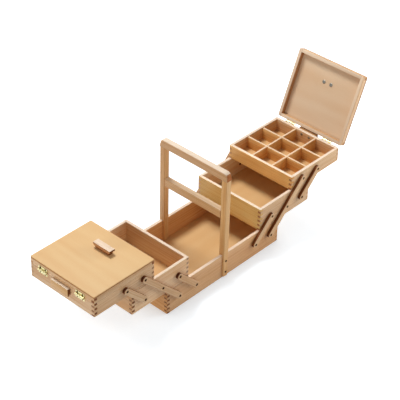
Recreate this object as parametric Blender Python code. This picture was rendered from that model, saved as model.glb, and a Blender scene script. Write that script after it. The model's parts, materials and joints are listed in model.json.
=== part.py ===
"""Cantilever sewing box in beech, modelled standing open with one lid up.

A finger-jointed base carries two stacks of trays, one to the left and one to the right. Each stack hangs on
parallel arms, so that it swings up and out, and folds back over the base. The top trays have hinged lids,
and a fixed handle frame stands across the middle of the base.

Frame: +X runs to the right along the base, +Y to the back, +Z up. The origin is the middle of the underside.
"""

import math

import bmesh
import bpy
from mathutils import Matrix

MM = 0.001

# Driving dimensions: boxes
DEPTH = 220 * MM
BASE_LENGTH = 422 * MM
TRAY_LENGTH = 198 * MM
BASE_HEIGHT = 72 * MM
MIDDLE_HEIGHT = 67.2 * MM
TOP_HEIGHT = 41 * MM
LID_HEIGHT = 20 * MM
WALL = 9 * MM
BOTTOM_PLY = 5 * MM
LID_PLY = 4.5 * MM
REBATE = 5 * MM
EASE = 2 * MM
CORNER = 3 * MM
BASE_FINGERS = 11
MIDDLE_FINGERS = 10
TOP_FINGERS = 6

# Driving dimensions: folding arms
STEP_OUT = 121 * MM
LEAN = math.radians(45)
BASE_PIVOT_INSET = 38 * MM
BASE_PIVOT_HEIGHT = 43 * MM
ARM_WIDTH = 17 * MM
ARM_THICK = 8.5 * MM
PIVOT_RECESS_WIDTH = 7.5 * MM
PIVOT_RECESS_DEPTH = 3 * MM

# Driving dimensions: handle frame
POST_WIDTH = 18 * MM
POST_THICK = 18 * MM
POST_FOOT_HEIGHT = 2 * MM
POST_FOOT_ROUND = 5 * MM
HANDLE_TOP = 323 * MM
TOP_RAIL_HEIGHT = 22.5 * MM
TOP_RAIL_CORNER = 13 * MM
TOP_RAIL_EASE = 4 * MM
MID_RAIL_BOTTOM = 182.5 * MM
MID_RAIL_HEIGHT = 24 * MM
MID_RAIL_WIDTH = 16.5 * MM
TENON_LENGTH = 9 * MM
TENON_WIDTH = 9 * MM
TENON_HEIGHT = 12 * MM

# Driving dimensions: lids, hinges, pulls and dividers
LID_OPEN = math.radians(113)
HINGE_SPACING = 128 * MM
HINGE_LENGTH = 30 * MM
HINGE_LEAF = 10 * MM
LEAF_THICK = 1.2 * MM
KNUCKLE_RADIUS = 2.6 * MM
PIN_RADIUS = 1.2 * MM
PIN_OUT = 3.3 * MM
LID_PULL_SIZE = (18 * MM, 58 * MM, 15 * MM)
LID_PULL_FROM_FREE_EDGE = 61 * MM
END_PULL_SIZE = (22 * MM, 60 * MM, 9 * MM)
END_PULL_BELOW_SEAM = 10.2 * MM
PULL_UNDERCUT = 4.8 * MM
PULL_LIP = 3.5 * MM
PULL_EASE = 1.2 * MM
PULL_CORNER = 2 * MM
DIVIDER_THICK = 4 * MM
DIVIDER_BELOW_RIM = 1.5 * MM
CELLS = 3

# Clearances and modelling allowances
GAP = 0.3 * MM
REST_GAP = 0.4 * MM
OVERCUT = 1 * MM
SLIP = 0.05 * MM
EASE_STEPS = 2
CORNER_STEPS = 3
COVE_STEPS = 5
ROUND_STEPS = 8
MERGE = 0.005 * MM

# Places worked out from the driving dimensions
HALF_DEPTH = DEPTH / 2
MIDDLE_BOTTOM = BASE_HEIGHT + REST_GAP
TOP_BOTTOM = MIDDLE_BOTTOM + MIDDLE_HEIGHT + REST_GAP
SEAM = TOP_BOTTOM + TOP_HEIGHT
MIDDLE_CENTRE = BASE_LENGTH / 2 + STEP_OUT - TRAY_LENGTH / 2
TOP_CENTRE = MIDDLE_CENTRE + STEP_OUT
TOP_END = TOP_CENTRE + TRAY_LENGTH / 2
REACH = STEP_OUT / 2
RISE = REACH / math.tan(LEAN)
ARM_PITCH = math.hypot(REACH, RISE)
BASE_PIVOT = BASE_LENGTH / 2 - BASE_PIVOT_INSET
PIVOT_HEIGHTS = [BASE_PIVOT_HEIGHT + RISE * level for level in range(3)]
POST_CENTRE = HALF_DEPTH - WALL / 2
POST_TOP = HANDLE_TOP - TOP_RAIL_HEIGHT - GAP
POST_INNER = POST_CENTRE - POST_THICK / 2
POST_OUTER = POST_CENTRE + POST_THICK / 2


def material(name, colour, roughness, metallic=0.0):
    made = bpy.data.materials.new(name)
    made.use_nodes = True
    shader = made.node_tree.nodes["Principled BSDF"]
    shader.inputs["Base Color"].default_value = (*colour, 1.0)
    shader.inputs["Roughness"].default_value = roughness
    shader.inputs["Metallic"].default_value = metallic
    return made


def to_mesh(bm, name):
    """Turns a bmesh into a mesh whose round faces are smooth and whose corners stay sharp."""
    bmesh.ops.recalc_face_normals(bm, faces=bm.faces)
    mesh = bpy.data.meshes.new(name)
    bm.to_mesh(mesh)
    bm.free()
    mesh.shade_smooth()
    mesh.set_sharp_from_angle(angle=math.radians(35))
    return mesh


def cut(mesh, tool, operation="DIFFERENCE"):
    """The mesh after a Boolean with the tool mesh. Both meshes are used up."""
    body = bpy.data.objects.new("body", mesh)
    cutter = bpy.data.objects.new("cutter", tool)
    for helper in (body, cutter):
        bpy.context.scene.collection.objects.link(helper)
    modifier = body.modifiers.new("Boolean", "BOOLEAN")
    modifier.operation = operation
    modifier.solver = "EXACT"
    modifier.object = cutter
    graph = bpy.context.evaluated_depsgraph_get()
    result = bpy.data.meshes.new_from_object(body.evaluated_get(graph))
    result.name = mesh.name
    for helper in (body, cutter):
        bpy.data.objects.remove(helper)
    return result


def add(name, mesh, finish, parent=None, place=(0, 0, 0), turn=(0, 0, 0)):
    """One piece, put at a place in the world's axes and carried by its body's empty."""
    if not mesh.materials:
        mesh.materials.append(finish)
    piece = bpy.data.objects.new(name, mesh)
    bpy.context.scene.collection.objects.link(piece)
    piece.rotation_euler = turn
    piece.location = place
    if parent:
        piece.parent = parent
        piece.location = [value - origin for value, origin in zip(place, parent.location)]
    return piece


def body_empty(name, place):
    """The carrier of one moving body, with its origin on the body's joint axis."""
    empty = bpy.data.objects.new(name, None)
    bpy.context.scene.collection.objects.link(empty)
    empty.location = place
    return empty


def prism(outline, low, high):
    """A bmesh of an (x, z) outline, extruded along Y from low to high."""
    bm = bmesh.new()
    face = bm.faces.new([bm.verts.new((x, low, z)) for x, z in outline])
    grown = bmesh.ops.extrude_face_region(bm, geom=[face])["geom"]
    moved = [item for item in grown if isinstance(item, bmesh.types.BMVert)]
    bmesh.ops.translate(bm, verts=moved, vec=(0, high - low, 0))
    bmesh.ops.recalc_face_normals(bm, faces=bm.faces)
    return bm


def block(low, high):
    """A bmesh of a box between two corners."""
    outline = [(low[0], low[2]), (high[0], low[2]), (high[0], high[2]), (low[0], high[2])]
    return prism(outline, low[1], high[1])


def rod(radius, low, high, x=0.0, z=0.0, steps=16):
    """A bmesh of a round bar along Y."""
    angles = [math.tau * step / steps for step in range(steps)]
    return prism([(x + radius * math.cos(a), z + radius * math.sin(a)) for a in angles], low, high)


def joined(*shapes):
    """One bmesh that holds several, which stay separate bodies."""
    whole = bmesh.new()
    for shape in shapes:
        part = bpy.data.meshes.new("part")
        shape.to_mesh(part)
        shape.free()
        whole.from_mesh(part)
        bpy.data.meshes.remove(part)
    return whole


def fused(name, first, *others):
    """One mesh, the Boolean union of overlapping bmeshes."""
    mesh = to_mesh(first, name)
    for other in others:
        mesh = cut(mesh, to_mesh(other, "added"), "UNION")
    return mesh


def ease_edges(bm, chosen, width, steps=EASE_STEPS):
    """Rounds over the edges for which chosen(start, end) is true."""
    edges = [edge for edge in bm.edges if chosen(edge.verts[0].co, edge.verts[1].co)]
    bmesh.ops.bevel(bm, geom=edges, offset=width, segments=steps, profile=0.5, affect="EDGES")
    return bm


def arc(centre, radius, start, end, steps=ROUND_STEPS):
    angles = [start + (end - start) * step / steps for step in range(steps + 1)]
    return [(centre[0] + radius * math.cos(a), centre[1] + radius * math.sin(a)) for a in angles]


def rounded_rectangle(width, height, radius, steps=CORNER_STEPS):
    """Corner arcs of a rectangle about the origin, anticlockwise from the right."""
    points = []
    for quarter, (sign_x, sign_y) in enumerate([(1, 1), (-1, 1), (-1, -1), (1, -1)]):
        centre = (sign_x * (width / 2 - radius), sign_y * (height / 2 - radius))
        start = quarter * math.pi / 2
        points += arc(centre, radius, start, start + math.pi / 2, steps)
    return points


def bridge_rings(bm, pairs):
    """Quads between each pair of rings, which have the same number of points."""
    for ring, following in pairs:
        for first in range(len(ring)):
            second = (first + 1) % len(ring)
            bm.faces.new((ring[first], ring[second], following[second], following[first]))


def frame_ring(name, length, depth, section):
    """A closed frame: each (inset, height) of the section runs round a rectangle with rounded corners."""
    bm = bmesh.new()
    rings = []
    for inset, height in section:
        outline = rounded_rectangle(length - 2 * inset, depth - 2 * inset, max(CORNER - inset, 0))
        rings.append([bm.verts.new((x, y, height)) for x, y in outline])
    bridge_rings(bm, zip(rings, rings[1:] + rings[:1]))
    bmesh.ops.remove_doubles(bm, verts=bm.verts, dist=MERGE)
    return to_mesh(bm, name)


def wall_section(height):
    """Cross-section of a box wall: eased outside and at the rim, rebated below for the bottom panel."""
    quarter = math.pi / 2
    points = arc((EASE, EASE), EASE, 3 * quarter, 2 * quarter, EASE_STEPS)
    points += arc((EASE, height - EASE), EASE, 2 * quarter, quarter, EASE_STEPS)
    points += arc((WALL - EASE, height - EASE), EASE, quarter, 0, EASE_STEPS)
    points += [(WALL, BOTTOM_PLY + GAP), (WALL - REBATE, BOTTOM_PLY + GAP), (WALL - REBATE, 0)]
    return points


def finger_outline(length, height, count, first_from_top):
    """A board's face with its fingers. Every second finger counted from the rim belongs to the board."""
    side = []
    for index in range(count):
        own = (count - 1 - index) % 2 == first_from_top
        reach = length / 2 + OVERCUT if own else length / 2 - WALL - GAP
        inward = GAP / 2 if own else -GAP / 2
        low = height * index / count + inward if index else -OVERCUT
        high = height * (index + 1) / count - inward if index < count - 1 else height + OVERCUT
        side += [(reach, low), (reach, high)]
    return side + [(-x, z) for x, z in reversed(side)]


def finger_board(name, length, depth, height, count, first_from_top, across):
    """One board of a box, cut from the whole eased frame, so that the corners are flush at the fingers."""
    along, offset = (depth, length / 2) if across else (length, depth / 2)
    outline = finger_outline(along, height, count, first_from_top)
    tool = prism(outline, offset - WALL - SLIP, offset + OVERCUT)
    if across:
        bmesh.ops.rotate(tool, verts=tool.verts, cent=(0, 0, 0), matrix=Matrix.Rotation(-math.pi / 2, 3, "Z"))
    frame = frame_ring(name, length, depth, wall_section(height))
    return cut(frame, to_mesh(tool, "fingers"), "INTERSECT")


def box_meshes(name, length, height, count):
    """The three shapes that a box is glued up from: its back wall, its right end and its bottom."""
    side = finger_board(name + "_wall", length, DEPTH, height, count, 1, across=False)
    end = finger_board(name + "_end", length, DEPTH, height, count, 0, across=True)
    inset = WALL - REBATE + GAP
    reach_x = length / 2 - inset
    reach_y = HALF_DEPTH - inset
    bottom = block((-reach_x, -reach_y, 0), (reach_x, reach_y, BOTTOM_PLY))
    return side, end, to_mesh(bottom, name + "_bottom")


def add_box(name, meshes, finishes, place, end_names, parent=None):
    """The four walls and the bottom of one box. The ends are named from the left one to the right one."""
    side, end, bottom = meshes
    left_end, right_end = end_names
    half_turn = (0, 0, math.pi)
    add(f"{name}_back_wall", side, finishes["wood"], parent, place)
    add(f"{name}_front_wall", side, finishes["wood"], parent, place, half_turn)
    add(f"{name}_{right_end}", end, finishes["wood"], parent, place)
    add(f"{name}_{left_end}", end, finishes["wood"], parent, place, half_turn)
    add(f"{name}_bottom", bottom, finishes["ply"], parent, place)


def arm_mesh(name, steps):
    """A flat arm that stands on its lowest pivot, with a screw recess at each pivot of its outer face."""
    radius = ARM_WIDTH / 2
    outline = arc((0, ARM_PITCH * steps), radius, 0, math.pi) + arc((0, 0), radius, math.pi, math.tau)
    bar = prism(outline, 0, ARM_THICK)
    outer = ARM_THICK - MERGE
    ease_edges(bar, lambda a, b: a.y > outer and b.y > outer, OVERCUT, 1)
    floor = ARM_THICK - PIVOT_RECESS_DEPTH
    holes = [
        rod(PIVOT_RECESS_WIDTH / 2, floor, ARM_THICK + OVERCUT, z=ARM_PITCH * level, steps=12)
        for level in range(steps + 1)
    ]
    return cut(to_mesh(bar, name), to_mesh(joined(*holes), "recesses"))


def add_arm(name, mesh, wood, parent, sign, front, pivot):
    """One arm at rest, leaning outward from its lower pivot on the front or back of the boxes."""
    face = HALF_DEPTH + GAP
    lean = Matrix.Rotation(sign * LEAN, 4, "Y")
    facing = Matrix.Rotation(math.pi if front else 0, 4, "Z")
    place = (sign * pivot[0], -face if front else face, pivot[1])
    add(name, mesh, wood, parent, place, (lean @ facing).to_euler())


def post_mesh():
    """The back post: it straddles the base's wall, and is mortised for the mid rail inside."""
    half = POST_WIDTH / 2
    foot = POST_FOOT_HEIGHT + POST_FOOT_ROUND
    quarter = math.pi / 2
    outline = arc((half - POST_FOOT_ROUND, foot), POST_FOOT_ROUND, -quarter, 0, 3)
    outline += [(half, POST_TOP), (-half, POST_TOP)]
    outline += arc((POST_FOOT_ROUND - half, foot), POST_FOOT_ROUND, 2 * quarter, 3 * quarter, 3)
    post = prism(outline, POST_INNER, POST_OUTER)
    ease_edges(post, lambda a, b: abs(a.y - b.y) < MERGE and min(a.z, b.z) < POST_TOP - MERGE, EASE, 1)
    reach = half + OVERCUT
    slot = block(
        (-reach, HALF_DEPTH - WALL - GAP, -OVERCUT),
        (reach, HALF_DEPTH + GAP, BASE_HEIGHT + GAP),
    )
    toe = block((-reach, POST_INNER - OVERCUT, -OVERCUT), (reach, HALF_DEPTH, BOTTOM_PLY + GAP))
    mesh = cut(to_mesh(post, "handle_post"), to_mesh(slot, "slot"))
    mesh = cut(mesh, to_mesh(toe, "toe"))
    rail_middle = MID_RAIL_BOTTOM + MID_RAIL_HEIGHT / 2
    mortise = tenon_block(POST_INNER - OVERCUT, POST_INNER + TENON_LENGTH, rail_middle, GAP)
    mesh = cut(mesh, to_mesh(mortise, "mortise"))
    stub = block(
        (-TENON_WIDTH / 2, POST_CENTRE - TENON_HEIGHT / 2, POST_TOP - OVERCUT),
        (TENON_WIDTH / 2, POST_CENTRE + TENON_HEIGHT / 2, POST_TOP + TENON_LENGTH),
    )
    return cut(mesh, to_mesh(stub, "stub"), "UNION")


def tenon_block(low, high, middle, clearance=0.0):
    """A horizontal tenon along Y about a height, or the mortise for it where there is a clearance."""
    half_width = TENON_WIDTH / 2 + clearance
    half_height = TENON_HEIGHT / 2 + clearance
    lower = (-half_width, low, middle - half_height)
    return block(lower, (half_width, high + clearance, middle + half_height))


def top_rail_mesh():
    """The grip: a rail across both posts, rounded at its outer corners and mortised below for the posts."""
    reach = POST_OUTER
    bottom = POST_TOP + GAP
    quarter = math.pi / 2
    height = HANDLE_TOP - TOP_RAIL_CORNER
    corners = arc((reach - TOP_RAIL_CORNER, height), TOP_RAIL_CORNER, 0, quarter, 6)
    corners += arc((TOP_RAIL_CORNER - reach, height), TOP_RAIL_CORNER, quarter, 2 * quarter, 6)
    outline = [(-reach, bottom), (reach, bottom)] + corners
    rail = prism(outline, -POST_WIDTH / 2, POST_WIDTH / 2)
    ease_edges(rail, lambda a, b: abs(a.y - b.y) < MERGE and min(a.z, b.z) > bottom + MERGE, TOP_RAIL_EASE, 3)
    bmesh.ops.rotate(rail, verts=rail.verts, cent=(0, 0, 0), matrix=Matrix.Rotation(math.pi / 2, 3, "Z"))
    mesh = to_mesh(rail, "handle_top_rail")
    for sign in (-1, 1):
        middle = sign * POST_CENTRE
        half_width = TENON_WIDTH / 2 + GAP
        half_depth = TENON_HEIGHT / 2 + GAP
        mortise = block(
            (-half_width, middle - half_depth, bottom - OVERCUT),
            (half_width, middle + half_depth, POST_TOP + TENON_LENGTH + GAP),
        )
        mesh = cut(mesh, to_mesh(mortise, "mortise"))
    return mesh


def mid_rail_mesh():
    """The rail between the posts, which fills the gap between the folded lids."""
    half = MID_RAIL_WIDTH / 2
    reach = POST_INNER - GAP
    top = MID_RAIL_BOTTOM + MID_RAIL_HEIGHT
    rail = block((-half, -reach, MID_RAIL_BOTTOM), (half, reach, top))
    ease_edges(rail, lambda a, b: abs(a.y - b.y) > reach, EASE)
    middle = MID_RAIL_BOTTOM + MID_RAIL_HEIGHT / 2
    tip = POST_INNER + TENON_LENGTH - GAP
    return fused("handle_mid_rail", rail, tenon_block(-tip, tip, middle))


def lid_frame_mesh():
    """The lid's four-sided frame, eased outside, with its rim on the tray's."""
    height = LID_HEIGHT - LID_PLY - GAP
    section = [(0, GAP), (0, height), (WALL, height), (WALL, GAP + EASE / 2), (WALL - EASE / 2, GAP)]
    return frame_ring("lid_frame", TRAY_LENGTH, DEPTH, section)


def lid_panel_mesh():
    """The plywood top, as large as the frame, eased along its upper edge."""
    bm = bmesh.new()
    outline = rounded_rectangle(TRAY_LENGTH, DEPTH, CORNER)
    face = bm.faces.new([bm.verts.new((x, y, LID_HEIGHT - LID_PLY)) for x, y in outline])
    grown = bmesh.ops.extrude_face_region(bm, geom=[face])["geom"]
    moved = [item for item in grown if isinstance(item, bmesh.types.BMVert)]
    bmesh.ops.translate(bm, verts=moved, vec=(0, 0, LID_PLY))
    top = LID_HEIGHT - MERGE
    ease_edges(bm, lambda a, b: a.z > top and b.z > top, EASE / 2, 1)
    return to_mesh(bm, "lid_panel")


def pull_mesh(name, size):
    """A bar pull along Y: a narrow foot, coved out all round to a wider lip that is eased on top."""
    width, length, height = size
    cove = arc((0, 0), 1, 0, math.pi / 2, COVE_STEPS)
    levels = [(PULL_UNDERCUT * x, (height - PULL_LIP) * z) for x, z in cove]
    ease = arc((0, 0), PULL_EASE, 0, math.pi / 2, EASE_STEPS)
    levels += [(PULL_EASE - x, height - PULL_EASE + z) for x, z in ease]
    bm = bmesh.new()
    rings = []
    for inset, level in levels:
        outline = rounded_rectangle(width - 2 * inset, length - 2 * inset, PULL_CORNER)
        rings.append([bm.verts.new((x, y, level)) for x, y in outline])
    bm.faces.new(reversed(rings[0]))
    bm.faces.new(rings[-1])
    bridge_rings(bm, zip(rings, rings[1:]))
    return to_mesh(bm, name)


def divider_mesh():
    """An egg crate of thin strips that parts a top tray into equal cells."""
    low, high = BOTTOM_PLY + GAP, TOP_HEIGHT - DIVIDER_BELOW_RIM

    def lines(inside):
        """The two sides of every strip, between the ends of the crate."""
        reach = inside / 2 - GAP
        cell = (inside - (CELLS - 1) * DIVIDER_THICK) / CELLS
        found = [-reach]
        for strip in range(CELLS - 1):
            start = -inside / 2 + cell * (strip + 1) + DIVIDER_THICK * strip
            found += [start, start + DIVIDER_THICK]
        return found + [reach]

    columns = lines(TRAY_LENGTH - 2 * WALL)
    rows = lines(DEPTH - 2 * WALL)
    bm = bmesh.new()
    corners = [[bm.verts.new((x, y, low)) for y in rows] for x in columns]
    for i in range(len(columns) - 1):
        for j in range(len(rows) - 1):
            if i % 2 or j % 2:
                bm.faces.new((corners[i][j], corners[i + 1][j], corners[i + 1][j + 1], corners[i][j + 1]))
    loose = [corner for corner in bm.verts if not corner.link_faces]
    bmesh.ops.delete(bm, geom=loose, context="VERTS")
    grown = bmesh.ops.extrude_face_region(bm, geom=bm.faces[:])["geom"]
    moved = [item for item in grown if isinstance(item, bmesh.types.BMVert)]
    bmesh.ops.translate(bm, verts=moved, vec=(0, 0, high - low))
    return to_mesh(bm, "divider_grid")


def leaf_shapes(sign, knuckles):
    """A hinge leaf that lies on an end face at x = 0, above (+1) or below (-1) the pin, with its knuckles."""
    half = HINGE_LENGTH / 2
    near = KNUCKLE_RADIUS - GAP / 2

    def slab(low, high, start, end):
        """A flat piece of the leaf between two heights from the pin and two places along it."""
        heights = sorted((sign * low, sign * high))
        return block((GAP, start, heights[0]), (GAP + LEAF_THICK, end, heights[1]))

    shapes = [slab(near, HINGE_LEAF, -half, half)]
    for start, end in knuckles:
        shapes.append(slab(0, near + OVERCUT, start, end))
        shapes.append(rod(KNUCKLE_RADIUS, start, end, x=PIN_OUT))
    return shapes


def hinge_meshes():
    """The tray leaf, with two knuckles and the pin, and the lid leaf, whose one knuckle turns on the pin."""
    half = HINGE_LENGTH / 2
    split = HINGE_LENGTH / 4
    outer = [(-half, -split - GAP / 2), (split + GAP / 2, half)]
    pin = rod(PIN_RADIUS, -half + OVERCUT, half - OVERCUT, x=PIN_OUT, steps=10)
    tray_leaf = fused("tray_leaf", *leaf_shapes(-1, outer), pin)
    lid_leaf = fused("lid_leaf", *leaf_shapes(1, [(GAP / 2 - split, split - GAP / 2)]))
    bore = rod(PIN_RADIUS + GAP, -half, half, x=PIN_OUT, steps=10)
    return tray_leaf, cut(lid_leaf, to_mesh(bore, "bore"))


def add_handle(wood):
    post = post_mesh()
    add("handle_back_post", post, wood)
    add("handle_front_post", post, wood, turn=(0, 0, math.pi))
    add("handle_top_rail", top_rail_mesh(), wood)
    add("handle_mid_rail", mid_rail_mesh(), wood)


def add_arms(side, sign, meshes, wood, carriers):
    """The six arms of one side: a long one and two short ones, on the front and on the back."""
    long_mesh, short_mesh = meshes
    pivots = {
        "long": (BASE_PIVOT, PIVOT_HEIGHTS[0]),
        "inner": (BASE_PIVOT - REACH, PIVOT_HEIGHTS[0]),
        "outer": (BASE_PIVOT + 2 * REACH, PIVOT_HEIGHTS[1]),
    }
    for kind, pivot in pivots.items():
        mesh = long_mesh if kind == "long" else short_mesh
        for face in ("front", "back"):
            add_arm(f"{side}_{face}_{kind}_arm", mesh, wood, carriers[kind], sign, face == "front", pivot)


def add_lid(side, sign, carriers, shapes, finishes):
    """A lid with its pull, its two hinges and the pull on the tray's end between them."""
    wood, brass = finishes["wood"], finishes["brass"]
    lid, tray = carriers["lid"], carriers["top"]
    closed = (sign * TOP_CENTRE, 0, SEAM)
    add(f"{side}_lid_frame", shapes["lid_frame"], wood, lid, closed)
    add(f"{side}_lid_panel", shapes["lid_panel"], finishes["ply"], lid, closed)
    free_edge = TOP_END - TRAY_LENGTH
    pull_place = (sign * (free_edge + LID_PULL_FROM_FREE_EDGE), 0, SEAM + LID_HEIGHT + GAP)
    add(f"{side}_lid_pull", shapes["lid_pull"], wood, lid, pull_place)
    end_place = (sign * (TOP_END + GAP), 0, SEAM - END_PULL_BELOW_SEAM)
    add(f"{side}_end_pull", shapes["end_pull"], wood, tray, end_place, (0, sign * math.pi / 2, 0))
    outward = (0, 0, 0 if sign > 0 else math.pi)
    for face, offset in (("front", -HINGE_SPACING / 2), ("back", HINGE_SPACING / 2)):
        pin_place = (sign * TOP_END, offset, SEAM + GAP / 2)
        add(f"{side}_{face}_hinge_tray_leaf", shapes["tray_leaf"], brass, tray, pin_place, outward)
        add(f"{side}_{face}_hinge_lid_leaf", shapes["lid_leaf"], brass, lid, pin_place, outward)


def side_carriers(side, sign, lid_angle):
    """The empties of one side's moving bodies, with their origins on the joints' axes."""
    low, middle, high = PIVOT_HEIGHTS
    places = {
        "long": ("long_arms", BASE_PIVOT, low),
        "inner": ("inner_arms", BASE_PIVOT - REACH, low),
        "outer": ("outer_arms", BASE_PIVOT + 2 * REACH, middle),
        "middle": ("middle_tray", BASE_PIVOT + REACH, middle),
        "top": ("top_tray", BASE_PIVOT + 2 * REACH, high),
        "lid": ("lid", TOP_END + PIN_OUT, SEAM + GAP / 2),
    }
    carriers = {}
    for key, (name, out, height) in places.items():
        carriers[key] = body_empty(f"{side}_{name}", (sign * out, 0, height))
    carriers["lid"].rotation_euler.y = sign * lid_angle
    return carriers


def add_side(side, sign, lid_angle, shapes, finishes):
    """One stack of trays with its arms and lid."""
    carriers = side_carriers(side, sign, lid_angle)
    ends = ("inner_end", "outer_end") if sign > 0 else ("outer_end", "inner_end")
    middle_place = (sign * MIDDLE_CENTRE, 0, MIDDLE_BOTTOM)
    top_place = (sign * TOP_CENTRE, 0, TOP_BOTTOM)
    add_box(f"{side}_middle", shapes["middle"], finishes, middle_place, ends, carriers["middle"])
    add_box(f"{side}_top", shapes["top"], finishes, top_place, ends, carriers["top"])
    add(f"{side}_divider_grid", shapes["dividers"], finishes["ply"], carriers["top"], top_place)
    add_arms(side, sign, (shapes["long_arm"], shapes["short_arm"]), finishes["wood"], carriers)
    add_lid(side, sign, carriers, shapes, finishes)


def main():
    for old in list(bpy.data.objects):
        bpy.data.objects.remove(old)
    finishes = {
        "wood": material("beech", (0.56, 0.33, 0.17), 0.5),
        "ply": material("plywood", (0.78, 0.55, 0.28), 0.48),
        "brass": material("brass", (0.72, 0.56, 0.25), 0.3, 1.0),
    }
    tray_leaf, lid_leaf = hinge_meshes()
    shapes = {
        "base": box_meshes("base", BASE_LENGTH, BASE_HEIGHT, BASE_FINGERS),
        "middle": box_meshes("middle", TRAY_LENGTH, MIDDLE_HEIGHT, MIDDLE_FINGERS),
        "top": box_meshes("top", TRAY_LENGTH, TOP_HEIGHT, TOP_FINGERS),
        "dividers": divider_mesh(),
        "long_arm": arm_mesh("long_arm", 2),
        "short_arm": arm_mesh("short_arm", 1),
        "lid_frame": lid_frame_mesh(),
        "lid_panel": lid_panel_mesh(),
        "lid_pull": pull_mesh("lid_pull", LID_PULL_SIZE),
        "end_pull": pull_mesh("end_pull", END_PULL_SIZE),
        "tray_leaf": tray_leaf,
        "lid_leaf": lid_leaf,
    }
    add_box("base", shapes["base"], finishes, (0, 0, 0), ("left_end", "right_end"))
    add_handle(finishes["wood"])
    add_side("left", -1, 0.0, shapes, finishes)
    add_side("right", 1, LID_OPEN, shapes, finishes)


if __name__ == "__main__":
    main()
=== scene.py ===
"""Finishes of the cantilever sewing box: beech, plywood, brass, screws, pulls, lid joints, dividers, stage.

The file is laid out as a Blender add-on and is run as a script. Sizes are in metres, in the frame of the
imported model: +X runs to the right along the base, +Y to the back and +Z up.
"""

import json
import math
import random

import bmesh
import bpy
from mathutils import Matrix, Vector

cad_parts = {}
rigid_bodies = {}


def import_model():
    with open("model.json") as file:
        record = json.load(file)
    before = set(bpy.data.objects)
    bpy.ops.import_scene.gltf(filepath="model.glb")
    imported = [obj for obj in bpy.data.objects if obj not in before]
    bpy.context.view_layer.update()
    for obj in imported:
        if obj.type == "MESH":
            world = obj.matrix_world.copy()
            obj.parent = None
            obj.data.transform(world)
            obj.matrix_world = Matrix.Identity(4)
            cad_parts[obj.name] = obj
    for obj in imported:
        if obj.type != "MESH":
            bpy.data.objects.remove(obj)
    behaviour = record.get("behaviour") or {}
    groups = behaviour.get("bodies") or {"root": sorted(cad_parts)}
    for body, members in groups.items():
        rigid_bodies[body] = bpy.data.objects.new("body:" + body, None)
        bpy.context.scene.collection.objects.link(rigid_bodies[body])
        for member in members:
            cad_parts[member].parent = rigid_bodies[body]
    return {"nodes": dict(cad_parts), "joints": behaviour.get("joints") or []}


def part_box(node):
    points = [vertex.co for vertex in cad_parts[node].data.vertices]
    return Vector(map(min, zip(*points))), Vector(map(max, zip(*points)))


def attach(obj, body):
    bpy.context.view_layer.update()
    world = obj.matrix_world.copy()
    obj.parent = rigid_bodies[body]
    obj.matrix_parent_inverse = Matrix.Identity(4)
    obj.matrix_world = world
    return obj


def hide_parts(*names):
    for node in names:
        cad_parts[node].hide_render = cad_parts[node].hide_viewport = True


bl_info = {
    "name": "Sewing box finishes",
    "version": (1, 0, 0),
    "blender": (4, 5, 0),
    "location": "View3D > Sidebar > Sewing box",
    "description": "Gives a cantilever sewing box its wood, its fittings and a studio stage",
    "category": "Object",
}

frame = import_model()
NODES = frame["nodes"]
JOINTS = {joint["name"]: joint for joint in frame["joints"]}
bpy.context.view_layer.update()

MM = 0.001
X_AXIS = Vector((1, 0, 0))
Y_AXIS = Vector((0, 1, 0))
Z_AXIS = Vector((0, 0, 1))
SIDES = {"left": -1, "right": 1}
FACES = {"front": -1, "back": 1}

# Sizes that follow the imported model
WALL = 9 * MM
CORNER = 3 * MM
ARM_WIDTH = 17 * MM
PIVOT_RECESS_DEPTH = 3 * MM
LEAF_OUT = 1.5 * MM
LID_OPEN = math.radians(JOINTS["right_lid_hinge"]["range_deg"][1])

# Sizes of the boards, strips and pulls that are made here
GLUE_LINE = 0.3 * MM
EDGE_EASE = 0.4 * MM
PULL_EASE = 1.2 * MM
DIVIDER_THICK = 5 * MM
GRIP_COVE = 5 * MM
GRIP_COVE_SHARE = 0.7
GRIP_COVE_STEPS = 5
PULL_FOOT = 5.5 * MM
FOOT_INSET = 3 * MM
LIP_TAPER = 5 * MM
LIP_TIP = 5.5 * MM

# Edges sharper than the first are eased on a board; the others part smooth faces from flat ones
EASED_ANGLE = math.radians(35)
BOARD_SMOOTH_ANGLE = math.radians(30)
SCREW_SMOOTH_ANGLE = math.radians(40)

# Screws: their places, and the heights of their heads by the setting of the width
LEAF_SCREW_FROM_PIN = 6.3 * MM
LEAF_SCREW_SPREAD = 0.29
POST_SCREW_HEIGHTS = (17 * MM, 52 * MM)
LID_PULL_SCREWS = (-12 * MM, 12 * MM)
END_PULL_SCREWS = (-12.7 * MM, 12.7 * MM)
HEAD_HEIGHTS = {
    "pivot_head": 2 * MM,
    "nut_head": 1.2 * MM,
    "post_head": 1.3 * MM,
    "hinge_head": 0.8 * MM,
    "lid_pull_head": 1.8 * MM,
    "end_pull_head": 1.5 * MM,
}

# Shares of a head: its drum, its steps of rise and width, the slot with its cross bar, and the cut
DRUM_SHARE = 0.4
CROWN_STEPS = ((0.35, 0.86), (0.25, 0.66))
SCREW_SLOT = (0.62, 0.62)
NUT_SLOT = (1.2, 0.2)
SLOT_WIDTH = 0.17
SLOT_DEPTH = 0.5

# Layers of the plywood, and depths of the relief
PLY_LAYERS = 3
WOOD_RELIEF = 0.3 * MM
METAL_RELIEF = 0.1 * MM

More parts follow.
